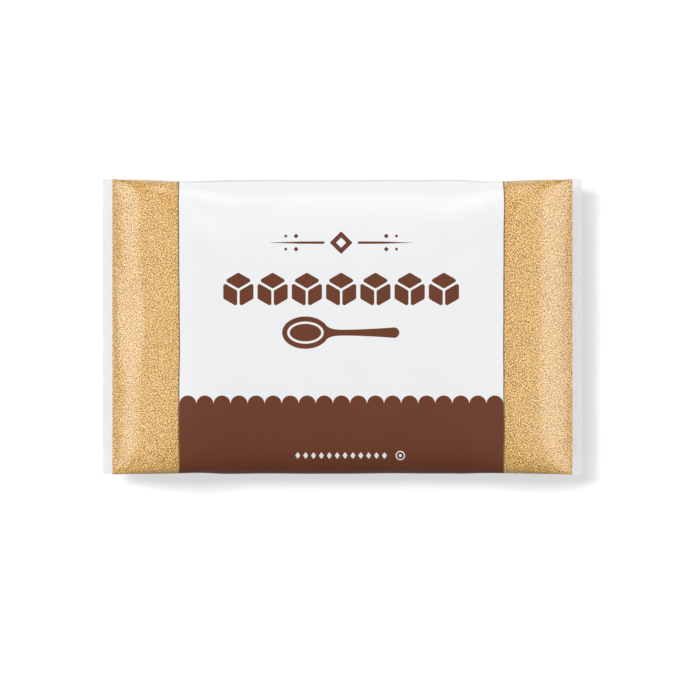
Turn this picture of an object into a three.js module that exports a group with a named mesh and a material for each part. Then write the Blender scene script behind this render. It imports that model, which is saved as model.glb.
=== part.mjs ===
// A sealed pouch of brown sugar, lying on its back. Millimetres, +Z up.
// X runs along the pouch from one end seal to the other, Y across it, and Z is its thickness.
// The origin is at the middle of the flat spot that it rests on.
//
// The pouch is one piece: a film tube filled tight with sugar and welded shut at both ends, so it is one solid.
// Its face is gently crowned, its long sides roll over steeply, its ends slope down to the flat end seals,
// and its back has settled flat on the table. Near each end the long sides are tucked in between face and back,
// which is why the pouch keeps its whole width out to the seals.
import * as THREE from "three";

// Driving dimensions
const LENGTH = 235; // over both end seals
const WIDTH = 145; // across the end seals
const THICKNESS = 43;
const SEAL_WIDTH = 4.6; // flat welded strip outside the sugar, at each end
const SEAL_THICKNESS = 0.5; // over the crimps of the two welded films
const RIM_HEIGHT = 18; // of the seals and of the widest line of the long sides above the table
const FACE_RISE = THICKNESS - RIM_HEIGHT;
const BACK_DROP = RIM_HEIGHT;

// Shape of the filled body
const END_POWER = 8; // how square the face stays along the length before it slopes to a seal
const FACE_POWER = 3; // how square the face stays across the width
const BACK_POWER = 4;
const CORNER_POWER = 4; // more of both towards the ends, where the face's edges turn into folds
const CORNER_FROM = 60; // from the seal
const CORNER_FULL_AT = 12;
const BACK_PRESS = 1.15; // how hard the back is pressed flat: over 1 + BACK_SOFT it is truly flat
const BACK_SOFT = 0.12;
const WAIST = 0.55; // how far each long side draws in along the middle
const SHOULDER_DIP = 0.35; // and a little more on the +Y side, beside the label
const SHOULDER_AT = 80;
const SHOULDER_WIDE = 15;

// Side tucks: V-shaped folds that open into the long sides from the corners of the seals
const TUCK_DEPTH = 6;
const TUCK_FULL_AT = 14; // from the seal
const TUCK_GONE_AT = 56;
const TUCK_LIP = 0.55; // share of the local rise where the fold meets the face
const TUCK_ROUND = 1.35; // over 1 rounds the lip

// Mesh
const ROWS = 30; // across the face, and again across the back
const COLUMNS = 38; // along the body
const SIDE_DENSITY = 5; // how much closer the rows are on the long sides than in the middle
const SIDE_FROM = 0.72; // shares of the half width between which they close up
const SIDE_TO = 0.98;

const HALF_BODY = LENGTH / 2 - SEAL_WIDTH;

function smoothStep(from, to, at) {
  const t = Math.min(1, Math.max(0, (at - from) / (to - from)));
  return t * t * (3 - 2 * t);
}

// Half of the width at x, towards +Y for a positive side and towards -Y for a negative one.
function halfWidth(x, side) {
  const share = Math.min(1, Math.abs(x) / HALF_BODY);
  const from = (Math.abs(x) - SHOULDER_AT) / SHOULDER_WIDE;
  const dip = SHOULDER_DIP * Math.exp(-from * from) * smoothStep(1, 0.93, share);
  return WIDTH / 2 - WAIST * (1 - share ** 4) - (side > 0 ? dip : 0);
}

// How far the body has opened at x: 0 at a seal, 1 in the middle.
function opened(x) {
  return 1 - Math.min(1, Math.abs(x) / HALF_BODY) ** END_POWER;
}

// Depth of the side tuck at x.
function tuck(x) {
  const fromSeal = HALF_BODY - Math.abs(x);
  return (
    TUCK_DEPTH *
    smoothStep(0, TUCK_FULL_AT, fromSeal) *
    (1 - smoothStep(TUCK_FULL_AT, TUCK_GONE_AT, fromSeal))
  );
}

// Presses the back flat: follows v while it is small and is exactly 1 from 1 + BACK_SOFT on.
function pressed(v) {
  if (v <= 1 - BACK_SOFT) return v;
  if (v >= 1 + BACK_SOFT) return 1;
  return 1 - (1 + BACK_SOFT - v) ** 2 / (4 * BACK_SOFT);
}

// Squareness of the section at x.
function sectionPower(x, side) {
  const fromSeal = HALF_BODY - Math.abs(x);
  const base = side > 0 ? FACE_POWER : BACK_POWER;
  return base + CORNER_POWER * smoothStep(CORNER_FROM, CORNER_FULL_AT, fromSeal);
}

// A rounded section runs from one rim (angle 0) over the middle to the other rim (angle PI).
// Its point is given as shares of the half width and of the rise.
function sectionShares(angle, power) {
  const c = Math.cos(angle);
  return [
    Math.sign(c) * Math.abs(c) ** (2 / power),
    Math.max(0, Math.sin(angle)) ** (2 / power),
  ];
}

// Angles of the rows on the section at x, evenly along its outline but closer together on the long sides.
function rowAngles(x, side) {
  const power = sectionPower(x, side);
  const rise = side > 0 ? FACE_RISE : BACK_DROP;
  const fine = 4000;
  const along = [0];
  let last = [1, 0];
  for (let i = 1; i <= fine; i++) {
    // Finer steps at both rims, where a square section starts almost upright.
    const turn = i / fine;
    const angle = (Math.PI * (1 - Math.cos(Math.PI * turn))) / 2;
    const now = sectionShares(angle, power);
    const density =
      1 + SIDE_DENSITY * smoothStep(SIDE_FROM, SIDE_TO, Math.abs(now[0]));
    const step = Math.hypot(
      ((now[0] - last[0]) * WIDTH) / 2,
      (now[1] - last[1]) * rise,
    );
    along.push(along[i - 1] + density * step);
    last = now;
  }
  const angles = [];
  for (let j = 0, i = 0; j <= ROWS; j++) {
    const wanted = (along[fine] * j) / ROWS;
    while (i < fine - 1 && along[i + 1] < wanted) i++;
    const turn = (i + (wanted - along[i]) / (along[i + 1] - along[i])) / fine;
    angles.push((Math.PI * (1 - Math.cos(Math.PI * turn))) / 2);
  }
  return angles;
}

// One point of the section at x. side is 1 on the face and -1 on the back.
function sectionPoint(x, angle, side) {
  const [across, up] = sectionShares(angle, sectionPower(x, side));
  const half = SEAL_THICKNESS / 2;
  const raised = opened(x) * up;
  const share = side > 0 ? raised : pressed(BACK_PRESS * raised);
  const rise = (side > 0 ? FACE_RISE : BACK_DROP) - half;
  const inward = tuck(x) * Math.max(0, 1 - up / TUCK_LIP) ** TUCK_ROUND;
  return [
    x,
    across * halfWidth(x, across) - Math.sign(across) * inward,
    RIM_HEIGHT + side * (half + rise * share),
  ];
}

// Places along X: the outer edge of a seal, then the body, closer together towards the ends, then the other seal.
function places() {
  const xs = [-LENGTH / 2];
  for (let i = 0; i <= COLUMNS; i++)
    xs.push(-HALF_BODY * Math.cos((Math.PI * i) / COLUMNS));
  xs.push(LENGTH / 2);
  return xs;
}

function pouchGeometry() {
  const points = [];
  const faces = [];
  const xs = places();
  const around = 2 * (ROWS + 1);
  for (const x of xs) {
    // The face from +Y to -Y, then the back from -Y to +Y.
    for (const angle of rowAngles(x, 1))
      points.push(...sectionPoint(x, angle, 1));
    for (const angle of rowAngles(x, -1).reverse())
      points.push(...sectionPoint(x, angle, -1));
  }
  const at = (column, row) => column * around + (row % around);
  for (let i = 0; i + 1 < xs.length; i++)
    for (let j = 0; j < around; j++) {
      faces.push(at(i, j), at(i, j + 1), at(i + 1, j));
      faces.push(at(i, j + 1), at(i + 1, j + 1), at(i + 1, j));
    }
  // The two cut edges of the seals.
  for (const [column, turned] of [
    [0, true],
    [xs.length - 1, false],
  ])
    for (let j = 0; j < ROWS; j++) {
      const a = at(column, j);
      const b = at(column, j + 1);
      const c = at(column, around - 2 - j);
      const d = at(column, around - 1 - j);
      if (turned) faces.push(a, c, b, a, d, c);
      else faces.push(a, b, c, a, c, d);
    }
  const geometry = new THREE.BufferGeometry();
  geometry.setAttribute(
    "position",
    new THREE.BufferAttribute(new Float32Array(points), 3),
  );
  geometry.setIndex(faces);
  geometry.computeVertexNormals();
  return geometry;
}

const printedFilm = new THREE.MeshStandardMaterial({
  color: 0xeef0f2,
  roughness: 0.35,
  metalness: 0,
});

const model = new THREE.Group();
const pouch = new THREE.Mesh(pouchGeometry(), printedFilm);
pouch.name = "pouch";
model.add(pouch);

export default model;
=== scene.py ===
"""Looks of a sealed pouch of brown sugar that lies on its back.

The pouch is a film tube with a printed label band round its middle, clear film at both ends with the sugar showing
through, and a flat milky weld at each end. Sizes are in millimetres here, and go to metres when a mesh is made.
X runs along the pouch, Y across it, Z up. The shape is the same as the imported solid's, on a finer mesh.
"""

import math

import bpy
import numpy as np
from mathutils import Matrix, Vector
from mathutils.geometry import delaunay_2d_cdt


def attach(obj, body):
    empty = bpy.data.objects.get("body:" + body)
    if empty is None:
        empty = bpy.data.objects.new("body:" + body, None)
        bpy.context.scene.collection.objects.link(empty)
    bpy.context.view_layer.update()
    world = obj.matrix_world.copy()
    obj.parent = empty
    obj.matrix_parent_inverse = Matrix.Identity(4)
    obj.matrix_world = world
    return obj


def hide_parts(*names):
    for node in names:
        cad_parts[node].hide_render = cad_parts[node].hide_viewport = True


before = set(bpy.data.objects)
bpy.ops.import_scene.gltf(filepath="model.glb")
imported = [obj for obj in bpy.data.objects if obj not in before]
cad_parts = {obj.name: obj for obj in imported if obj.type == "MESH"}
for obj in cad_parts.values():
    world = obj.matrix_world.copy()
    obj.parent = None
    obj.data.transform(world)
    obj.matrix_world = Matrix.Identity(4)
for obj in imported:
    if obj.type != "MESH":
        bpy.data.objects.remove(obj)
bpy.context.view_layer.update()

random = np.random.default_rng(48)

# Sizes of the solid
LENGTH, WIDTH, THICKNESS = 235.0, 145.0, 43.0
SEAL_WIDTH = 4.6
RIM_HEIGHT = 18.0
FACE_RISE, BACK_DROP = THICKNESS - RIM_HEIGHT, RIM_HEIGHT
END_POWER, FACE_POWER, BACK_POWER = 8, 3, 4
CORNER_POWER, CORNER_FROM, CORNER_FULL_AT = 4, 60, 12
BACK_PRESS, BACK_SOFT = 1.15, 0.12
WAIST, SHOULDER_DIP, SHOULDER_AT, SHOULDER_WIDE = 0.55, 0.35, 80, 15
TUCK_DEPTH, TUCK_FULL_AT, TUCK_GONE_AT = 6, 14, 56
TUCK_LIP, TUCK_ROUND = 0.55, 1.35
HALF_BODY = LENGTH / 2 - SEAL_WIDTH

# Print
LABEL_LEFT, LABEL_RIGHT = -80.07, 79.18
LABEL_BOW = 0.8  # how far both edges draw in at the middle of the face
SCALLOPS = 19
SCALLOP_TOP = -33.55  # in Y
PRINT_MIDDLE = -0.6  # in X
PAINTED_SHADOW_WIDTH = 0.62  # width of the painted shadow line beside the print

# Sugar
SUGAR_UNDER = 0.24  # mean depth below the film
GRAIN = 0.46
CONTRAST = 1.0  # how much a grain's tint turns away from its neighbours'
# Painted shade: how much darker the grains are made along the +Y rim
PAINTED_RIM_SHADE = 0.27
PITCH_X, PITCH_FACE, PITCH_BACK = 0.35, 0.26, 0.66
SUGAR_REACH = 3.0  # how far the fine relief runs in under the label


# Light
ROOM_ABOVE, ROOM_BELOW = 0.30, 0.20
SOFT_LIGHTS = (  # azimuth, elevation, width, strength
    (6, 2, 33, 2.55),
    (172, 0, 26, 2.75),
    (0, 45, 40, 0.8),
    (180, 45, 40, 0.8),
    (90, 30, 40, 0.28),
    (66, 31, 27, 1.4),
    (111, 30, 17, 2.2),
    (90, -30, 45, 1.15),
)
OVERHEAD = (((-0.65, 0, 0.76), 0.588), ((0, 0.5, 0.866), 0.46), ((0, -0.5, 0.866), 0.645))
KEY_FROM = (-0.4473, 0.2451, 0.8602)
KEY, KEY_SOFT = 4.1, 16
FLOOR_GREY, FLOOR_GLOW = 0.10, 0.608


# ---------------------------------------------------------------- shape


def smooth_step(low, high, at):
    t = np.clip((at - low) / (high - low), 0, 1)
    return t * t * (3 - 2 * t)


def half_width(x, side):
    share = np.minimum(1, np.abs(x) / HALF_BODY)
    off = (np.abs(x) - SHOULDER_AT) / SHOULDER_WIDE
    dip = SHOULDER_DIP * np.exp(-off * off) * smooth_step(1, 0.93, share)
    return WIDTH / 2 - WAIST * (1 - share**4) - np.where(side > 0, dip, 0)


def opened(x):
    return 1 - np.minimum(1, np.abs(x) / HALF_BODY) ** END_POWER


def tuck(x):
    inside = HALF_BODY - np.abs(x)
    return (
        TUCK_DEPTH
        * smooth_step(0, TUCK_FULL_AT, inside)
        * (1 - smooth_step(TUCK_FULL_AT, TUCK_GONE_AT, inside))
    )


def pressed(v):
    mid = 1 - (1 + BACK_SOFT - v) ** 2 / (4 * BACK_SOFT)
    return np.where(v <= 1 - BACK_SOFT, v, np.where(v >= 1 + BACK_SOFT, 1, mid))


def section_power(x, face):
    inside = HALF_BODY - np.abs(x)
    base = np.where(face, FACE_POWER, BACK_POWER)
    return base + CORNER_POWER * smooth_step(CORNER_FROM, CORNER_FULL_AT, inside)


def section(x, angle, face):
    """Y and Z of the section at x. angle is 0 at the +Y rim and PI at the -Y rim."""
    power = section_power(x, face)
    c, s = np.cos(angle), np.maximum(0, np.sin(angle))
    size = (np.abs(c) ** power + s**power) ** (-1 / power)
    across, up = c * size, s * size
    raised = opened(x) * up
    share = np.where(face, raised, pressed(BACK_PRESS * raised))
    inward = tuck(x) * np.maximum(0, 1 - up / TUCK_LIP) ** TUCK_ROUND
    y = across * half_width(x, across) - np.sign(across) * inward
    z = RIM_HEIGHT + np.where(face, FACE_RISE, -BACK_DROP) * share
    return y, z


# Tables from the share of the outline's length to the angle, for the face and for the back
TABLE_X = np.linspace(-HALF_BODY, HALF_BODY, 241)
TABLE_V = np.linspace(0, 1, 601)


def outline_table(face):
    turn = np.linspace(0, 1, 2401)
    angle = math.pi * (1 - np.cos(math.pi * turn)) / 2
    rows = []
    for x in TABLE_X:
        y, z = section(np.full_like(angle, x), angle, np.full(angle.shape, face))
        along = np.concatenate([[0], np.cumsum(np.hypot(np.diff(y), np.diff(z)))])
        rows.append(np.interp(TABLE_V, along / along[-1], angle))
    return np.array(rows)


FACE_TABLE, BACK_TABLE = outline_table(True), outline_table(False)


def look_up(table, x, v):
    i = np.clip(
        (x + HALF_BODY) / (2 * HALF_BODY) * (len(TABLE_X) - 1), 0, len(TABLE_X) - 1.001
    )
    j = np.clip(v * (len(TABLE_V) - 1), 0, len(TABLE_V) - 1.001)
    i0, j0 = i.astype(int), j.astype(int)
    a, b = i - i0, j - j0
    return (
        table[i0, j0] * (1 - a) * (1 - b)
        + table[i0 + 1, j0] * a * (1 - b)
        + table[i0, j0 + 1] * (1 - a) * b
        + table[i0 + 1, j0 + 1] * a * b
    )


def tube(x, v):
    """The plain tube. v is 0 at the +Y rim, 1 at the -Y rim over the face, and on round the back to 1.5 = -0.5."""
    v = (v + 0.5) % 2 - 0.5
    face = (v >= 0) & (v <= 1)
    from_top = np.where(face, v, np.where(v > 1, 2 - v, -v))
    angle = np.where(
        face, look_up(FACE_TABLE, x, from_top), look_up(BACK_TABLE, x, from_top)
    )
    y, z = section(x, angle, face)
    return np.stack([x, y, z], -1)


def share_at(x, y, face=True):
    """v of the point at x and y on the face, or on the back."""
    x, y = np.broadcast_arrays(np.asarray(x, float), np.asarray(y, float))
    power = section_power(x, face)
    across = np.clip(np.abs(y) / half_width(x, y), 0, 1)
    up = (1 - across**power) ** (1 / power)
    angle = np.arctan2(up, np.sign(y) * across)
    table = FACE_TABLE if face else BACK_TABLE
    out = np.empty(x.shape)
    for k in np.ndindex(x.shape):
        i = (x[k] + HALF_BODY) / (2 * HALF_BODY) * (len(TABLE_X) - 1)
        i0 = int(min(max(i, 0), len(TABLE_X) - 1.001))
        row = table[i0] * (1 - (i - i0)) + table[i0 + 1] * (i - i0)
        out[k] = np.interp(angle[k], row, TABLE_V)
    return out if face else 2 - out


# Soft unevenness of the filled film: long low waves, and a few shallow dents where the film is drawn to the corners
WAVES = [
    (
        random.uniform(0, 2 * math.pi),
        2 * math.pi / random.uniform(26, 75),
        random.uniform(0, 2 * math.pi),
    )
    for _ in range(12)
]
# x, y, half length, half width, turn in degrees, height
DENTS = [
    (-68, 56, 15, 5.5, -36, -0.7),
    (-73, 44, 13, 7.5, -22, 0.6),
    (-52, 62, 22, 5.0, -4, 0.35),
    (54, 53, 18, 8.5, 12, 1.15),
    (64, 36, 24, 7.0, 20, -0.3),
    (-105, 4, 6, 17, 0, -1.1),
    (-70, -52, 22, 7.0, 35, -0.3),
    (69, -50, 22, 7.0, -35, -0.3),
    (-20, 64, 40, 5.0, 1, 0.12),
    (20, 8, 60, 30, 0, -0.12),
]


def unevenness(x, y, z, face):
    low = np.zeros_like(x)
    for turn, rate, phase in WAVES:
        low += np.sin(rate * (x * math.cos(turn) + (y + z) * math.sin(turn)) + phase)
    out = 0.035 * low
    dents = np.zeros_like(x)
    for cx, cy, along, wide, turn, height in DENTS:
        c, s = math.cos(math.radians(turn)), math.sin(math.radians(turn))
        a = ((x - cx) * c + (y - cy) * s) / along
        b = (-(x - cx) * s + (y - cy) * c) / wide
        dents += height * np.exp(-a * a - b * b)
    out += dents * np.where(face, 1, 0) * smooth_step(20, 30, z)
    # Short pleats run in from the welds.
    inside = HALF_BODY - np.abs(x)
    pleat = (
        np.sin(y * 0.62 + 1.3 * np.sin(y * 0.171 + np.sign(x)))
        + 0.7 * np.sin(y * 1.07 + 2.0 + np.sign(x))
        + 0.6 * np.sin(y * 0.33 + 0.7 * np.sign(x))
    )
    out += (
        0.075
        * pleat
        * np.where(face, 1, 0.6)
        * np.exp(-inside / 9)
        * smooth_step(0, 3, inside)
    )
    # Nothing moves at the welds or where the back lies flat.
    return out * smooth_step(0, 4, inside) * smooth_step(0.3, 9, z)


def normals_of(place, x, v, step_x=0.35, step_v=0.0022):
    low_x, high_x = np.maximum(x - step_x, -HALF_BODY), np.minimum(x + step_x, HALF_BODY)
    a = place(high_x, v) - place(low_x, v)
    b = place(x, v + step_v) - place(x, v - step_v)
    n = np.cross(b, a)
    size = np.linalg.norm(n, axis=-1, keepdims=True)
    return n / np.maximum(size, 1e-12)


def film(x, v, under=0.0):
    """The film's surface, or one that lies under it by so much."""
    p = tube(x, v)
    n = normals_of(tube, x, v)
    wrapped = (v + 0.5) % 2 - 0.5
    face = (wrapped >= 0) & (wrapped <= 1)
    lift = unevenness(p[..., 0], p[..., 1], p[..., 2], face) - under
    q = p + n * lift[..., None]
    q[..., 2] = np.maximum(q[..., 2], 0.02)
    return q


def film_normals(x, v):
    return normals_of(film, x, v)


def label_edge(v, side):
    """x of the label's edge, for side -1 or 1."""
    wrapped = (v + 0.5) % 2 - 0.5
    rim = LABEL_LEFT if side < 0 else LABEL_RIGHT
    y = tube(np.full_like(v, rim), v)[..., 1] / (WIDTH / 2)
    face = (wrapped >= 0) & (wrapped <= 1)
    bow = LABEL_BOW * np.clip(1 - y * y, 0, 1) * np.where(face, 1, 0)
    # Both edges also draw in where the film turns down over the long sides.
    down = 1 - np.abs(y)
    low = 0.65 * np.exp(-((down / 0.235) ** 2))
    high = (0.3 if side < 0 else 0.75) * np.exp(-((down / 0.11) ** 2))
    bow = bow + np.where(y < 0, low, high)
    wander = 0.07 * np.sin(5.1 * math.pi * wrapped + side) + 0.05 * np.sin(
        12.7 * math.pi * wrapped + 2 * side
    )
    return rim - side * bow + wander * np.where(face, 1, 0) * smooth_step(0, 0.1, down)


# ---------------------------------------------------------------- meshes


def make(name, points, triangles, normals=None, smooth=True):
    mesh = bpy.data.meshes.new(name)
    points = np.asarray(points, float).reshape(-1, 3)
    triangles = np.asarray(triangles, np.int32).reshape(-1, 3)
    mesh.vertices.add(len(points))
    mesh.vertices.foreach_set("co", (points * 0.001).astype(np.float32).ravel())
    mesh.loops.add(len(triangles) * 3)
    mesh.loops.foreach_set("vertex_index", triangles.ravel())
    mesh.polygons.add(len(triangles))
    mesh.polygons.foreach_set(
        "loop_start", np.arange(0, len(triangles) * 3, 3, dtype=np.int32)
    )
    mesh.update(calc_edges=True)
    mesh.polygons.foreach_set("use_smooth", np.full(len(triangles), smooth))
    if normals is not None:
        mesh.normals_split_custom_set_from_vertices(
            np.asarray(normals, float).reshape(-1, 3).tolist()
        )
    piece = bpy.data.objects.new(name, mesh)
    bpy.context.scene.collection.objects.link(piece)
    return piece


def grid_triangles(columns, rows, closed):
    """columns x rows points, numbered column by column; closed joins the last row to the first."""
    i, j = np.meshgrid(
        np.arange(columns - 1), np.arange(rows if closed else rows - 1), indexing="ij"
    )
    a, b = i * rows + j, i * rows + (j + 1) % rows
    c, d = a + rows, (i + 1) * rows + (j + 1) % rows
    even = ((i + j) % 2 == 0)[..., None]
    first = np.where(even, np.stack([a, b, d], -1), np.stack([a, b, c], -1))
    second = np.where(even, np.stack([a, d, c], -1), np.stack([b, d, c], -1))
    return np.concatenate([first.reshape(-1, 3), second.reshape(-1, 3)])


def own_part(points, normals, triangles):
    """Only the points that these triangles use."""
    used, index = np.unique(triangles.ravel(), return_inverse=True)
    return points[used], normals[used], index.reshape(-1, 3)


# ---------------------------------------------------------------- label

FACE_SPAN = 166.0  # length of the outline over the face, so that the plan is nearly true to size


def rounded(corners, radius, steps=4):
    """A polygon with rounded corners."""
    out = []
    corners = [np.array(c, float) for c in corners]
    for k, c in enumerate(corners):
        p, q = corners[k - 1] - c, corners[(k + 1) % len(corners)] - c
        p, q = p / np.linalg.norm(p), q / np.linalg.norm(q)
        half = math.acos(np.clip(p @ q, -1, 1)) / 2
        back = radius / math.tan(half)
        start, end = c + p * back, c + q * back
        for s in range(steps + 1):
            t = s / steps
            out.append(
                (1 - t) ** 2 * start + 2 * t * (1 - t) * (c * 0.6 + 0.2 * (start + end))
                + t**2 * end
            )
    return np.array(out)


def ring(cx, cy, rx, ry, steps=36, turn=0.0):
    a = np.linspace(0, 2 * math.pi, steps, endpoint=False)
    c, s = math.cos(turn), math.sin(turn)
    x, y = rx * np.cos(a), ry * np.sin(a)
    return np.stack([cx + x * c - y * s, cy + x * s + y * c], -1)


def cube_mark(cx, cy, radius, gap):
    """A sugar cube seen from its corner: three flat faces with a gap between them."""
    a = [math.radians(t) for t in (90, 150, 210, 270, 330, 30)]
    hexagon = [np.array([math.cos(t), math.sin(t)]) * radius for t in a]
    middle = np.zeros(2)
    faces = [
        [hexagon[0], hexagon[1], middle, hexagon[5]],
        [hexagon[1], hexagon[2], hexagon[3], middle],
        [hexagon[5], middle, hexagon[3], hexagon[4]],
    ]
    shapes = []
    for f in faces:
        f = np.array(f)
        centre = f.mean(0)
        away = centre / np.linalg.norm(centre) * gap * 0.62
        small = centre + (f - centre) * (1 - gap / radius * 0.95)
        shapes.append(rounded(small + away * 0.35, 0.9) + [cx, cy])
    return shapes


def print_shapes():
    """Closed outlines in X and Y on the face. Each one turns white to brown and brown to white."""
    shapes = []
    m = PRINT_MIDDLE
    # A thin ornament: two lines that taper away from a small diamond
    for side in (-1, 1):
        shapes.append(
            np.array(
                [
                    [m + side * 8.2, 41.6],
                    [m + side * 20, 41.55],
                    [m + side * 34.6, 41.05],
                    [m + side * 34.6, 40.95],
                    [m + side * 20, 40.45],
                    [m + side * 8.2, 40.4],
                ][:: 1 if side < 0 else -1]
            )
        )
        for k, size in ((0, 1.25), (1, 0.9)):
            shapes.append(
                rounded(
                    [
                        [m + side * (22 + 5 * k) - size, 44.2],
                        [m + side * (22 + 5 * k), 44.2 - size],
                        [m + side * (22 + 5 * k) + size, 44.2],
                        [m + side * (22 + 5 * k), 44.2 + size],
                    ],
                    0.25,
                    2,
                )
            )
            shapes.append(
                rounded(
                    [
                        [m + side * (22 + 5 * k) - size, 37.8],
                        [m + side * (22 + 5 * k), 37.8 - size],
                        [m + side * (22 + 5 * k) + size, 37.8],
                        [m + side * (22 + 5 * k), 37.8 + size],
                    ],
                    0.25,
                    2,
                )
            )
    shapes.append(
        rounded(
            [[m - 5.6, 41], [m, 35.4], [m + 5.6, 41], [m, 46.6]],
            0.5,
        )
    )
    shapes.append(
        rounded(
            [[m - 2.5, 41], [m, 38.5], [m + 2.5, 41], [m, 43.5]],
            0.3,
        )
    )
    # A row of sugar cubes
    for k in range(7):
        shapes += cube_mark(m + (k - 3) * 16.7, 17.9, 8.75, 0.95)
    # A spoon
    bowl_x = m - 17.4
    shapes.append(spoon(m))
    shapes.append(ring(bowl_x, -2.9, 8.9, 5.4, 44))
    shapes.append(ring(bowl_x, -2.9, 7.7, 4.3, 40))
    # Small white diamonds along the brown band, and a ring
    for k in range(12):
        x = m - 21.2 + k * 3.85
        shapes.append(
            rounded(
                [[x - 1.25, -62.9], [x, -64.6], [x + 1.25, -62.9], [x, -61.2]], 0.25, 2
            )
        )
    shapes.append(ring(m + 28.9, -62.9, 2.3, 2.3, 32))
    shapes.append(ring(m + 28.9, -62.9, 1.75, 1.75, 28))
    shapes.append(ring(m + 28.9, -62.9, 0.75, 0.75, 16))
    return shapes


def spoon(m):
    """Outline of a spoon lying along X, its bowl to the left."""
    cx, cy, rx, ry = m - 17.4, -2.9, 11.4, 7.9
    join = 0.42
    a = np.linspace(join, 2 * math.pi - join, 46)
    bowl = np.stack([cx + rx * np.cos(a), cy + ry * np.sin(a)], -1)
    neck = cx + rx * math.cos(join)
    end = m + 28.4

    def half_handle(x):
        t = (x - neck) / (end - neck)
        start = ry * math.sin(join)
        return 1.35 + (start - 1.35) * math.exp(-t * 16) + 1.45 * max(0.0, t) ** 2.2

    xs = np.linspace(neck, end - 2.6, 26)[1:]
    top = [[x, cy + half_handle(x)] for x in xs]
    tip_r = half_handle(end - 2.6)
    b = np.linspace(math.pi / 2, -math.pi / 2, 13)[1:-1]
    tip = [[end - 2.6 + 2.6 * math.cos(t), cy + tip_r * math.sin(t)] for t in b]
    bottom = [[x, cy - half_handle(x)] for x in xs[::-1]]
    # bowl runs from its upper join all round to the lower one, then back along the handle
    return np.array(list(bowl) + bottom[::-1] + tip[::-1] + top[::-1])


def dense(line, most, closed=True):
    """The same line with points no further apart than most."""
    out = []
    count = len(line) if closed else len(line) - 1
    for k in range(count):
        p, q = line[k], line[(k + 1) % len(line)]
        n = max(1, int(math.ceil(np.linalg.norm(q - p) / most)))
        out += [p + (q - p) * s / n for s in range(n)]
    if not closed:
        out.append(line[-1])
    return np.array(out)


def scallop_line(face):
    """The top edge of the brown band, left to right, as points of the plan."""
    left = float(label_edge(share_at([-80.0], [-38.0], face), -1)[0])
    right = float(label_edge(share_at([79.0], [-38.0], face), 1)[0])
    pitch = (right - left) / SCALLOPS
    radius = pitch / 2
    xs, ys = [], []
    for k in range(SCALLOPS):
        middle = left + pitch * (k + 0.5)
        a = np.linspace(math.pi, 0, 19)
        if k:
            a = a[1:]
        xs += list(middle + radius * np.cos(a))
        ys += list(SCALLOP_TOP - radius + radius * np.sin(a))
    xs, ys = np.array(xs), np.array(ys)
    return np.stack([xs, share_at(xs, ys, face) * FACE_SPAN], -1)


def inside(points, outline):
    """Which points lie in a closed outline."""
    x, y = points[:, 0], points[:, 1]
    hit = np.zeros(len(points), bool)
    box = (
        (x >= outline[:, 0].min())
        & (x <= outline[:, 0].max())
        & (y >= outline[:, 1].min())
        & (y <= outline[:, 1].max())
    )
    index = np.nonzero(box)[0]
    px, py = x[index], y[index]
    got = np.zeros(len(index), bool)
    for p, q in zip(outline, np.roll(outline, -1, axis=0)):
        cross = (p[1] > py) != (q[1] > py)
        with np.errstate(divide="ignore", invalid="ignore"):
            at = (q[0] - p[0]) * (py - p[1]) / (q[1] - p[1]) + p[0]
        got ^= cross & (px < at)
    hit[index] = got
    return hit


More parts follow.
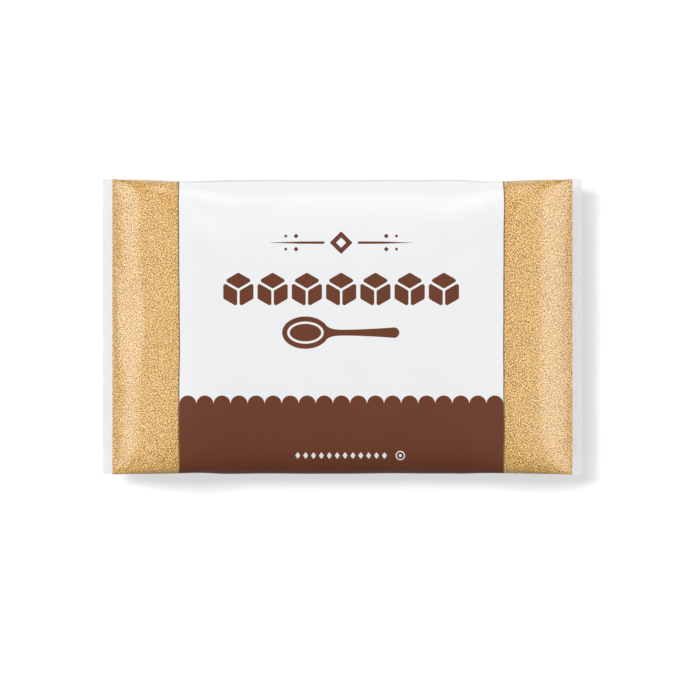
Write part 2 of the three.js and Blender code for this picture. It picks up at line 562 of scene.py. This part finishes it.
def build_label():
    low, high = -0.5, 1.5
    rows = np.concatenate(
        [
            np.arange(low, -0.14, 1.9 / FACE_SPAN),
            np.arange(-0.14, 0.14, 1.0 / FACE_SPAN),
            np.arange(0.14, 0.86, 1.6 / FACE_SPAN),
            np.arange(0.86, 1.14, 1.0 / FACE_SPAN),
            np.arange(1.14, high, 1.9 / FACE_SPAN),
        ]
    )
    rows = np.append(rows[(rows < high - 0.004)], high)
    left = label_edge(rows, -1)
    right = label_edge(rows, 1)
    front, back = scallop_line(True), scallop_line(False)
    # The band's edge meets the label's edges exactly.
    loops = []
    for shape in print_shapes():
        shape = dense(shape, 0.8)
        loops.append(
            np.stack(
                [shape[:, 0], share_at(shape[:, 0], shape[:, 1]) * FACE_SPAN], -1
            )
        )
    edge_v = np.unique(
        np.round(
            np.concatenate(
                [rows, [front[0, 1] / FACE_SPAN, back[0, 1] / FACE_SPAN]]
            ),
            7,
        )
    )
    left_line = np.stack([label_edge(edge_v, -1), edge_v * FACE_SPAN], -1)
    edge_w = np.unique(
        np.round(
            np.concatenate(
                [rows, [front[-1, 1] / FACE_SPAN, back[-1, 1] / FACE_SPAN]]
            ),
            7,
        )
    )
    right_line = np.stack([label_edge(edge_w, 1), edge_w * FACE_SPAN], -1)
    for line in (front, back):
        for end, border in ((0, left_line), (-1, right_line)):
            k = np.argmin(np.abs(border[:, 1] - line[end, 1]))
            line[end] = border[k]
    bottom = np.stack(
        [np.linspace(left_line[0, 0], right_line[0, 0], 82), np.full(82, low * FACE_SPAN)],
        -1,
    )
    top = np.stack(
        [
            np.linspace(left_line[-1, 0], right_line[-1, 0], 82),
            np.full(82, high * FACE_SPAN),
        ],
        -1,
    )
    fixed, edges = [], []

    def add(line, closed):
        base = sum(len(f) for f in fixed)
        fixed.append(line)
        n = len(line)
        edges.extend((base + k, base + k + 1) for k in range(n - 1))
        if closed:
            edges.append((base + n - 1, base))

    for line in (left_line, right_line, bottom, top, front, back):
        add(line, False)
    for loop in loops:
        add(loop, True)
    fixed = np.concatenate(fixed)
    # Points between the lines
    free = []
    for k, v in enumerate(rows[1:-1], 1):
        count = int(round((right[k] - left[k]) / 1.6))
        t = (np.arange(1, count) + (0.25 if k % 2 else -0.25)) / count
        free.append(
            np.stack(
                [left[k] + (right[k] - left[k]) * t, np.full(len(t), v * FACE_SPAN)], -1
            )
        )
    free = np.concatenate(free)
    keep = np.ones(len(free), bool)
    for start in range(0, len(free), 2000):
        part = free[start : start + 2000]
        gap = np.min(
            (part[:, None, 0] - fixed[None, :, 0]) ** 2
            + (part[:, None, 1] - fixed[None, :, 1]) ** 2,
            axis=1,
        )
        keep[start : start + 2000] = gap > 0.5**2
    plan = np.concatenate([fixed, free[keep]])
    result = delaunay_2d_cdt(
        [Vector((float(a), float(b))) for a, b in plan], edges, [], 0, 1e-4, False
    )
    plan = np.array([[p.x, p.y] for p in result[0]])
    triangles = np.array([list(t) for t in result[2] if len(t) == 3], int)
    centre = plan[triangles].mean(1)
    in_label = (
        centre[:, 0] > np.interp(centre[:, 1], left_line[:, 1], left_line[:, 0])
    ) & (centre[:, 0] < np.interp(centre[:, 1], right_line[:, 1], right_line[:, 0]))
    area = np.abs(
        np.cross(
            plan[triangles[:, 1]] - plan[triangles[:, 0]],
            plan[triangles[:, 2]] - plan[triangles[:, 0]],
        )
    )
    triangles = triangles[in_label & (area > 1e-7)]
    centre = plan[triangles].mean(1)
    # The band reaches past both edges of the label, which aren't straight.
    past = np.array([[5.0, 0.0]])
    band = np.concatenate(
        [
            front[:1] - past,
            front,
            front[-1:] + past,
            back[-1:] + past,
            back[::-1],
            back[:1] - past,
        ]
    )
    brown = inside(centre, band)
    for loop in loops:
        brown ^= inside(centre, loop)
    x, v = plan[:, 0], plan[:, 1] / FACE_SPAN
    points, normals = film(x, v), film_normals(x, v)
    # Faces point out.
    a, b, c = (points[triangles[:, k]] for k in range(3))
    wrong = np.einsum("ij,ij->i", np.cross(b - a, c - a), normals[triangles[:, 0]]) < 0
    triangles[wrong] = triangles[wrong][:, ::-1]
    return points, normals, triangles, brown


# ---------------------------------------------------------------- sugar


def grain_field(x, s):
    """For points of the plan: which grain each is on, its height over the grain's middle, and how near a gap it is."""
    gx, gs = x / GRAIN, s / GRAIN
    ix, js = np.floor(gx).astype(int), np.floor(gs).astype(int)
    best = np.full(x.shape, 1e9)
    second = np.full(x.shape, 1e9)
    owner = np.zeros(x.shape + (2,), int)
    off_x, off_s = np.zeros(x.shape), np.zeros(x.shape)
    for di in (-1, 0, 1):
        for dj in (-1, 0, 1):
            ci, cj = ix + di, js + dj
            r1, r2 = hashed(ci, cj, 0), hashed(ci, cj, 1)
            dx = gx - (ci + 0.5 + 0.8 * (r1 - 0.5))
            ds = gs - (cj + 0.5 + 0.8 * (r2 - 0.5))
            d = np.sqrt(dx * dx + ds * ds)
            closer = d < best
            second = np.where(closer, best, np.minimum(second, d))
            best = np.where(closer, d, best)
            owner[..., 0] = np.where(closer, ci, owner[..., 0])
            owner[..., 1] = np.where(closer, cj, owner[..., 1])
            off_x, off_s = np.where(closer, dx, off_x), np.where(closer, ds, off_s)
    return owner, off_x * GRAIN, off_s * GRAIN, (second - best) * GRAIN


CHANCE = random.random((8, 509, 521))
# Sheet 6 sets each grain off from the four beside it.
around = sum(np.roll(CHANCE[5], step, axis) for step in (-1, 1) for axis in (0, 1)) / 4
CHANCE[6] = CHANCE[5] - CONTRAST * (around - 0.5)


def hashed(i, j, which):
    """A number from 0 to 1 for each pair of whole numbers."""
    return CHANCE[which, i % 509, j % 521]


def build_sugar(name, side):
    inner = (LABEL_LEFT if side < 0 else LABEL_RIGHT) - side * SUGAR_REACH
    outer = side * (HALF_BODY - 0.05)
    columns = int(round(abs(outer - inner) / PITCH_X)) + 1
    # Close rows over the face, wider ones over the back
    over = np.linspace(-0.03, 1.03, int(1.06 * FACE_SPAN / PITCH_FACE), endpoint=False)
    behind = np.linspace(1.03, 1.97, int(0.94 * FACE_SPAN / PITCH_BACK), endpoint=False)
    line = np.concatenate([over, behind])
    rows = len(line)
    pitch_v = np.concatenate(
        [np.full(len(over), over[1] - over[0]), np.full(len(behind), behind[1] - behind[0])]
    )
    t, v = np.meshgrid(np.linspace(0, 1, columns), line, indexing="ij")
    x = inner + (outer - inner) * t
    shake = smooth_step(0, 0.03, t) * smooth_step(1, 0.985, t)
    x = x + shake * random.uniform(-0.34, 0.34, x.shape) * PITCH_X
    v = v + shake * random.uniform(-0.34, 0.34, x.shape) * pitch_v
    s = v * FACE_SPAN
    owner, dx, ds, gap = grain_field(x, s)
    i, j = owner[..., 0], owner[..., 1]
    height = 0.1 * (hashed(i, j, 2) - 0.5)
    tilt_x, tilt_s = hashed(i, j, 3) - 0.5, hashed(i, j, 4) - 0.5
    height = height + 0.36 * (tilt_x * dx + tilt_s * ds)
    height = height - 0.065 * (1 - smooth_step(0.0, 0.12, gap))
    height = height + random.uniform(-0.016, 0.016, x.shape)
    height = np.clip(height, -0.3, SUGAR_UNDER - 0.05)
    # Thin out to nothing at the weld.
    near = smooth_step(0.0, 5.0, HALF_BODY - np.abs(x))
    under = SUGAR_UNDER * (0.35 + 0.65 * near) - height * near
    points = film(x, v, under)
    points[-1, :, 2] = RIM_HEIGHT
    triangles = grid_triangles(columns, rows, True)
    points = points.reshape(-1, 3)
    # A flat end under the label closes the body.
    first = np.arange(rows)
    middle = len(points)
    points = np.concatenate([points, [[inner, 0.0, 21.0]]])
    cap = np.stack([np.full(rows, middle), (first + 1) % rows, first], -1)
    triangles = np.concatenate([triangles, cap])
    if side < 0:
        triangles = triangles[:, ::-1]
    piece = make(name, points, triangles, smooth=False)
    # One colour value for each grain, with painted rim shade taken off it below
    flat = np.concatenate([np.stack([x.ravel(), s.ravel()], -1), [[inner, 0.0]]])
    centre = flat[triangles].copy()
    spread = centre[:, :, 1].max(1) - centre[:, :, 1].min(1)
    centre = centre.mean(1)
    centre[spread > 50] = flat[triangles[spread > 50][:, 0]]
    own, _, _, _ = grain_field(centre[:, 0], centre[:, 1])
    tint_and_rim_shade = hashed(own[:, 0], own[:, 1], 6)
    tint_and_rim_shade = 0.5 + 1.08 * (tint_and_rim_shade - 0.5) + 0.3 * (random.random(len(tint_and_rim_shade)) - 0.5)
    # Painted shade: grains darker along the +Y rim, where the film turns away from the light
    at = points[triangles].mean(1)
    tint_and_rim_shade -= PAINTED_RIM_SHADE * np.exp(-np.maximum(0, half_width(at[:, 0], 1) - at[:, 1]) / 1.6)
    data = piece.data.attributes.new("tint_and_rim_shade", "FLOAT", "FACE")
    data.data.foreach_set("value", tint_and_rim_shade.astype(np.float32))
    return piece


def sugar_core(name, side):
    """The sugar under the label, which nothing shows: a plain closed body between the two with relief."""
    columns, rows = 49, 120
    x = np.linspace(
        LABEL_LEFT + SUGAR_REACH + 0.05, LABEL_RIGHT - SUGAR_REACH - 0.05, columns
    )
    v = np.linspace(-0.5, 1.5, rows, endpoint=False)
    xx, vv = np.meshgrid(x, v, indexing="ij")
    points = film(xx, vv, SUGAR_UNDER + 0.15).reshape(-1, 3)
    triangles = grid_triangles(columns, rows, True)
    first = np.arange(rows)
    last = first + (columns - 1) * rows
    n = len(points)
    points = np.concatenate([points, [[x[0], 0.0, 21.0], [x[-1], 0.0, 21.0]]])
    caps = [
        np.stack([np.full(rows, n), (first + 1) % rows, first], -1),
        np.stack([np.full(rows, n + 1), last, np.roll(last, -1)], -1),
    ]
    return make(name, points, np.concatenate([triangles] + caps), smooth=False)


# ---------------------------------------------------------------- clear film


def window(name, side):
    """Clear film from the painted shadow line at the label's edge to the weld."""
    rows = 420
    v = np.linspace(-0.5, 1.5, rows, endpoint=False)
    start = label_edge(v, side) + side * PAINTED_SHADOW_WIDTH
    end = side * HALF_BODY
    t = np.linspace(0, 1, 38)
    t = 0.55 * t + 0.45 * np.sin(t * math.pi / 2)  # closer together towards the weld
    t = t / t[-1]
    x = start[None, :] + (end - start[None, :]) * t[:, None]
    vv = np.broadcast_to(v[None, :], x.shape)
    points, normals = film(x, vv), film_normals(x, vv)
    triangles = grid_triangles(len(t), rows, True)
    if side < 0:
        triangles = triangles[:, ::-1]
    return make(name, points, triangles, normals.reshape(-1, 3))


def painted_shadow_line(name, side):
    """A thin dark see-through strip along the print's edge: a painted shadow of the print on the sugar."""
    rows = 420
    v = np.linspace(-0.5, 1.5, rows, endpoint=False)
    start = label_edge(v, side)
    x = np.stack([start, start + side * PAINTED_SHADOW_WIDTH])
    vv = np.stack([v, v])
    points, normals = film(x, vv), film_normals(x, vv)
    triangles = grid_triangles(2, rows, True)
    if side < 0:
        triangles = triangles[:, ::-1]
    return make(name, points, triangles, normals.reshape(-1, 3))


def weld(name, side):
    """The flat strip where both films are welded, a little wavy, with faint crimps."""
    columns, rows = 24, 181
    t = np.linspace(0, 1, columns)
    y = np.linspace(-WIDTH / 2, WIDTH / 2, rows)
    tt, yy = np.meshgrid(t, y, indexing="ij")
    out = 0.06 * np.sin(yy * 0.11 + side) + 0.04 * np.sin(yy * 0.37 + 2)
    x = side * (HALF_BODY - 0.05 + (SEAL_WIDTH + 0.05) * tt + out * tt)
    bend = 0.16 * np.sin(yy * 0.085 + side) * tt**2 + 0.05 * np.sin(yy * 0.31) * tt
    crimp = 0.035 * np.sin(tt * 2 * math.pi * 5.5) * smooth_step(0, 0.12, tt)
    z = RIM_HEIGHT + bend
    top = np.stack([x, yy, z + 0.11 + crimp], -1).reshape(-1, 3)
    low = np.stack([x, yy, z - 0.11 + crimp], -1).reshape(-1, 3)
    n = columns * rows
    up = grid_triangles(columns, rows, False)
    down = up[:, ::-1] + n
    walls = []
    outline = (
        [(0, j) for j in range(rows)]
        + [(i, rows - 1) for i in range(1, columns)]
        + [(columns - 1, j) for j in range(rows - 2, -1, -1)]
        + [(i, 0) for i in range(columns - 2, 0, -1)]
    )
    index = [i * rows + j for i, j in outline]
    for a, b in zip(index, index[1:] + index[:1]):
        walls += [[a, b, b + n], [a, b + n, a + n]]
    triangles = np.concatenate([up, down, np.array(walls)])
    piece = make(name, np.concatenate([top, low]), triangles)
    # Consistent, pointing out
    import bmesh

    work = bmesh.new()
    work.from_mesh(piece.data)
    bmesh.ops.recalc_face_normals(work, faces=work.faces)
    work.to_mesh(piece.data)
    work.free()
    edge = piece.modifiers.new("sharp", "EDGE_SPLIT")
    edge.split_angle = math.radians(40)
    return piece


# ---------------------------------------------------------------- materials


def new_material(name):
    m = bpy.data.materials.new(name)
    m.use_nodes = True
    nodes, links = m.node_tree.nodes, m.node_tree.links
    nodes.clear()
    out = nodes.new("ShaderNodeOutputMaterial")
    return m, nodes, links, out


def printed(name, colour, roughness, gloss, fine):
    """Print under soft gloss film: nearly one colour, with a very slight mottle and a fine skin."""
    m, nodes, links, out = new_material(name)
    skin = nodes.new("ShaderNodeBsdfPrincipled")
    skin.inputs["Roughness"].default_value = roughness
    skin.inputs["IOR"].default_value = 1.5
    skin.inputs["Specular IOR Level"].default_value = gloss
    where = nodes.new("ShaderNodeTexCoord")
    mottle = nodes.new("ShaderNodeTexNoise")
    mottle.inputs["Scale"].default_value = 55
    mottle.inputs["Detail"].default_value = 3
    ramp = nodes.new("ShaderNodeValToRGB")
    ramp.color_ramp.elements[0].position = 0.3
    ramp.color_ramp.elements[1].position = 0.7
    for e, k in zip(ramp.color_ramp.elements, (1 - fine, 1 + fine)):
        e.color = [min(1, c * k) for c in colour] + [1]
    grain = nodes.new("ShaderNodeTexNoise")
    grain.inputs["Scale"].default_value = 900
    grain.inputs["Detail"].default_value = 2
    bump = nodes.new("ShaderNodeBump")
    bump.inputs["Strength"].default_value = 0.06
    bump.inputs["Distance"].default_value = 0.0001
    links.new(where.outputs["Object"], mottle.inputs["Vector"])
    links.new(where.outputs["Object"], grain.inputs["Vector"])
    links.new(mottle.outputs["Fac"], ramp.inputs["Fac"])
    links.new(ramp.outputs["Color"], skin.inputs["Base Color"])
    links.new(grain.outputs["Fac"], bump.inputs["Height"])
    links.new(bump.outputs["Normal"], skin.inputs["Normal"])
    links.new(skin.outputs["BSDF"], out.inputs["Surface"])
    return m


def clear(name, sheen, roughness):
    """Clear film: see-through, with a soft gloss that grows where it is seen or lit at a low angle."""
    m, nodes, links, out = new_material(name)
    through = nodes.new("ShaderNodeBsdfTransparent")
    through.inputs["Color"].default_value = (1, 1, 1, 1)
    gloss = nodes.new("ShaderNodeBsdfGlossy")
    gloss.inputs["Color"].default_value = (1, 1, 1, 1)
    gloss.inputs["Roughness"].default_value = roughness
    mix = nodes.new("ShaderNodeMixShader")
    facing = nodes.new("ShaderNodeLayerWeight")
    facing.inputs["Blend"].default_value = 0.5
    steep = nodes.new("ShaderNodeMath")
    steep.operation = "POWER"
    steep.inputs[1].default_value = 5
    share = nodes.new("ShaderNodeMath")
    share.operation = "MULTIPLY_ADD"
    share.inputs[1].default_value = 1 - sheen
    share.inputs[2].default_value = sheen
    links.new(facing.outputs["Facing"], steep.inputs[0])
    links.new(steep.outputs[0], share.inputs[0])
    links.new(share.outputs[0], mix.inputs["Fac"])
    links.new(through.outputs["BSDF"], mix.inputs[1])
    links.new(gloss.outputs["BSDF"], mix.inputs[2])
    links.new(mix.outputs["Shader"], out.inputs["Surface"])
    return m


def milky(name, colour, alpha, roughness, fine):
    """Film that lets only part of the light through, a little uneven."""
    m, nodes, links, out = new_material(name)
    skin = nodes.new("ShaderNodeBsdfPrincipled")
    skin.inputs["Roughness"].default_value = roughness
    skin.inputs["Alpha"].default_value = alpha
    where = nodes.new("ShaderNodeTexCoord")
    mottle = nodes.new("ShaderNodeTexNoise")
    mottle.inputs["Scale"].default_value = 170
    mottle.inputs["Detail"].default_value = 3
    ramp = nodes.new("ShaderNodeValToRGB")
    ramp.color_ramp.elements[0].position = 0.3
    ramp.color_ramp.elements[1].position = 0.7
    for e, k in zip(ramp.color_ramp.elements, (1 - fine, 1 + fine)):
        e.color = [min(1, c * k) for c in colour] + [1]
    links.new(where.outputs["Object"], mottle.inputs["Vector"])
    links.new(mottle.outputs["Fac"], ramp.inputs["Fac"])
    links.new(ramp.outputs["Color"], skin.inputs["Base Color"])
    links.new(skin.outputs["BSDF"], out.inputs["Surface"])
    return m


def sugar_material(name):
    """Moist grains: each grain has its own colour, from cream over gold to brown, with painted shade along the +Y rim
    in the same attribute.
    """
    m, nodes, links, out = new_material(name)
    body = nodes.new("ShaderNodeBsdfPrincipled")
    body.inputs["Roughness"].default_value = 0.6
    body.inputs["Specular IOR Level"].default_value = 0.08
    tint_and_rim_shade = nodes.new("ShaderNodeAttribute")
    tint_and_rim_shade.attribute_name = "tint_and_rim_shade"
    ramp = nodes.new("ShaderNodeValToRGB")
    stops = [
        (0.0, (0.18, 0.042, 0.0)),
        (0.25, (0.397, 0.192, 0.008)),
        (0.5, (0.660, 0.400, 0.096)),
        (0.75, (0.902, 0.592, 0.221)),
        (1.0, (1.0, 0.705, 0.325)),
    ]
    ramp.color_ramp.elements[0].position = stops[0][0]
    ramp.color_ramp.elements[0].color = (*stops[0][1], 1)
    ramp.color_ramp.elements[1].position = stops[-1][0]
    ramp.color_ramp.elements[1].color = (*stops[-1][1], 1)
    for at, colour in stops[1:-1]:
        e = ramp.color_ramp.elements.new(at)
        e.color = (*colour, 1)
    where = nodes.new("ShaderNodeTexCoord")
    damp = nodes.new("ShaderNodeTexNoise")
    damp.inputs["Scale"].default_value = 120
    damp.inputs["Detail"].default_value = 3
    damp_ramp = nodes.new("ShaderNodeValToRGB")
    damp_ramp.color_ramp.elements[0].position = 0.32
    damp_ramp.color_ramp.elements[0].color = (0.985, 0.978, 0.97, 1)
    damp_ramp.color_ramp.elements[1].position = 0.68
    damp_ramp.color_ramp.elements[1].color = (1, 1, 1, 1)
    mix = nodes.new("ShaderNodeMix")
    mix.data_type = "RGBA"
    mix.blend_type = "MULTIPLY"
    mix.inputs["Factor"].default_value = 1
    links.new(tint_and_rim_shade.outputs["Fac"], ramp.inputs["Fac"])
    links.new(where.outputs["Object"], damp.inputs["Vector"])
    links.new(damp.outputs["Fac"], damp_ramp.inputs["Fac"])
    links.new(ramp.outputs["Color"], mix.inputs[6])
    links.new(damp_ramp.outputs["Color"], mix.inputs[7])
    links.new(mix.outputs[2], body.inputs["Base Color"])
    links.new(body.outputs["BSDF"], out.inputs["Surface"])
    return m


white_print = printed("label_white", (0.725, 0.732, 0.747), 0.30, 0.85, 0.006)
brown_print = printed("label_brown", (0.1215, 0.0315, 0.0105), 0.34, 0.4, 0.03)
clear_film = clear("clear_film", 0.075, 0.2)
# Painted shadow: a dark see-through film laid beside the print's edge
painted_shadow_film = milky("painted_shadow_line", (0.11, 0.09, 0.06), 0.55, 0.4, 0.12)
weld_film = milky("end_weld", (0.745, 0.76, 0.785), 0.47, 0.4, 0.025)
sugar_grains = sugar_material("sugar")


# ---------------------------------------------------------------- the pieces

points, normals, triangles, brown = build_label()
for name, part, material in (
    ("label_white", triangles[~brown], white_print),
    ("label_brown", triangles[brown], brown_print),
):
    p, n, t = own_part(points, normals, part)
    piece = make(name, p, t, n)
    piece.data.materials.append(material)
    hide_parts("pouch")
    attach(piece, "root")

for name, build, side, material, slot in (
    ("sugar_left", build_sugar, -1, sugar_grains, "sugar"),
    ("sugar_right", build_sugar, 1, sugar_grains, "sugar"),
    ("sugar_middle", sugar_core, 0, sugar_grains, "sugar"),
    ("clear_film_left", window, -1, clear_film, "clear_film"),
    ("clear_film_right", window, 1, clear_film, "clear_film"),
    ("painted_shadow_line_left", painted_shadow_line, -1, painted_shadow_film, "clear_film"),
    ("painted_shadow_line_right", painted_shadow_line, 1, painted_shadow_film, "clear_film"),
    ("end_weld_left", weld, -1, weld_film, "end_weld"),
    ("end_weld_right", weld, 1, weld_film, "end_weld"),
):
    piece = build(name, side)
    piece.data.materials.append(material)
    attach(piece, "root")


# ---------------------------------------------------------------- floor, light, camera

bpy.ops.mesh.primitive_plane_add(size=60, location=(0, 0, -0.00005))
floor = bpy.context.object
floor.name = "floor"
m, nodes, links, out = new_material("floor")
paper = nodes.new("ShaderNodeBsdfDiffuse")
paper.inputs["Color"].default_value = (FLOOR_GREY, FLOOR_GREY, FLOOR_GREY, 1)
glow = nodes.new("ShaderNodeEmission")  # a light table
glow.inputs["Strength"].default_value = FLOOR_GLOW
both = nodes.new("ShaderNodeAddShader")
links.new(paper.outputs["BSDF"], both.inputs[0])
links.new(glow.outputs["Emission"], both.inputs[1])
links.new(both.outputs["Shader"], out.inputs["Surface"])
floor.data.materials.append(m)
floor.visible_diffuse = floor.visible_glossy = floor.visible_shadow = False

world = bpy.data.worlds.new("world")
bpy.context.scene.world = world
world.use_nodes = True
nodes, links = world.node_tree.nodes, world.node_tree.links
nodes.clear()
out = nodes.new("ShaderNodeOutputWorld")


def node(kind, **inputs):
    n = nodes.new(kind)
    for key, value in inputs.items():
        n.inputs[key.replace("_", " ")].default_value = value
    return n


def plus(first, second):
    n = nodes.new("ShaderNodeMath")
    n.operation = "ADD"
    links.new(first, n.inputs[0])
    links.new(second, n.inputs[1])
    return n.outputs[0]


def soft_light(azimuth, elevation, width, strength):
    """A round soft light far away: full in its middle and nothing beyond its width, in degrees."""
    a, e = math.radians(azimuth), math.radians(elevation)
    dot = nodes.new("ShaderNodeVectorMath")
    dot.operation = "DOT_PRODUCT"
    dot.inputs[1].default_value = (
        math.cos(e) * math.cos(a),
        math.cos(e) * math.sin(a),
        math.sin(e),
    )
    links.new(towards.outputs["Generated"], dot.inputs[0])
    return ramp(dot.outputs["Value"], math.cos(math.radians(width)), 1, 0, strength)


def ramp(value, low, high, at_low, at_high):
    n = nodes.new("ShaderNodeMapRange")
    n.interpolation_type = "SMOOTHSTEP"
    n.inputs["From Min"].default_value = low
    n.inputs["From Max"].default_value = high
    n.inputs["To Min"].default_value = at_low
    n.inputs["To Max"].default_value = at_high
    links.new(value, n.inputs["Value"])
    return n.outputs["Result"]


# A pale room with soft lights: overhead dim, one on each side, one behind and one in front of the pouch
towards = nodes.new("ShaderNodeTexCoord")
apart = nodes.new("ShaderNodeSeparateXYZ")
links.new(towards.outputs["Generated"], apart.inputs[0])
light = ramp(apart.outputs["Z"], -0.15, 0.15, ROOM_BELOW, ROOM_ABOVE)
for place in SOFT_LIGHTS:
    light = plus(light, soft_light(*place))
room = nodes.new("ShaderNodeBackground")
room.inputs["Color"].default_value = (1, 1, 1, 1)
links.new(light, room.inputs["Strength"])
white = node("ShaderNodeBackground", Strength=1.0)
white.inputs["Color"].default_value = (1, 1, 1, 1)
seen = nodes.new("ShaderNodeLightPath")
mix = nodes.new("ShaderNodeMixShader")
links.new(seen.outputs["Is Camera Ray"], mix.inputs["Fac"])
links.new(room.outputs["Background"], mix.inputs[1])
links.new(white.outputs["Background"], mix.inputs[2])
links.new(mix.outputs["Shader"], out.inputs["Surface"])


def aim(light, target=(0, 0, 0.02)):
    direction = Vector(target) - light.location
    light.rotation_euler = direction.to_track_quat("-Z", "Y").to_euler()


def sun(name, towards_it, strength, softness):
    data = bpy.data.lights.new(name, "SUN")
    data.energy = strength
    data.angle = math.radians(softness)
    light = bpy.data.objects.new(name, data)
    light.location = towards_it
    bpy.context.scene.collection.objects.link(light)
    aim(light, (0, 0, 0))
    return light


# Wide overhead light, too even to show in the gloss
for k, (place, strength) in enumerate(OVERHEAD):
    sun("overhead_%d" % k, place, strength, 50).visible_glossy = False

# The key draws the shadow on the table.
key = sun("key", KEY_FROM, KEY * math.pi / KEY_FROM[2], KEY_SOFT)
lit = bpy.data.collections.new("lit_by_key")
lit.objects.link(floor)
key.light_linking.receiver_collection = lit

camera_data = bpy.data.cameras.new("camera")
camera_data.sensor_width = 36
camera_data.lens = 430.4
camera_data.clip_start, camera_data.clip_end = 0.1, 50
camera = bpy.data.objects.new("camera", camera_data)
camera.location = (-0.0014, -0.00625, 4.0)
bpy.context.scene.collection.objects.link(camera)
bpy.context.scene.camera = camera

bpy.context.scene.view_settings.view_transform = "Standard"
bpy.context.scene.view_settings.look = "None"
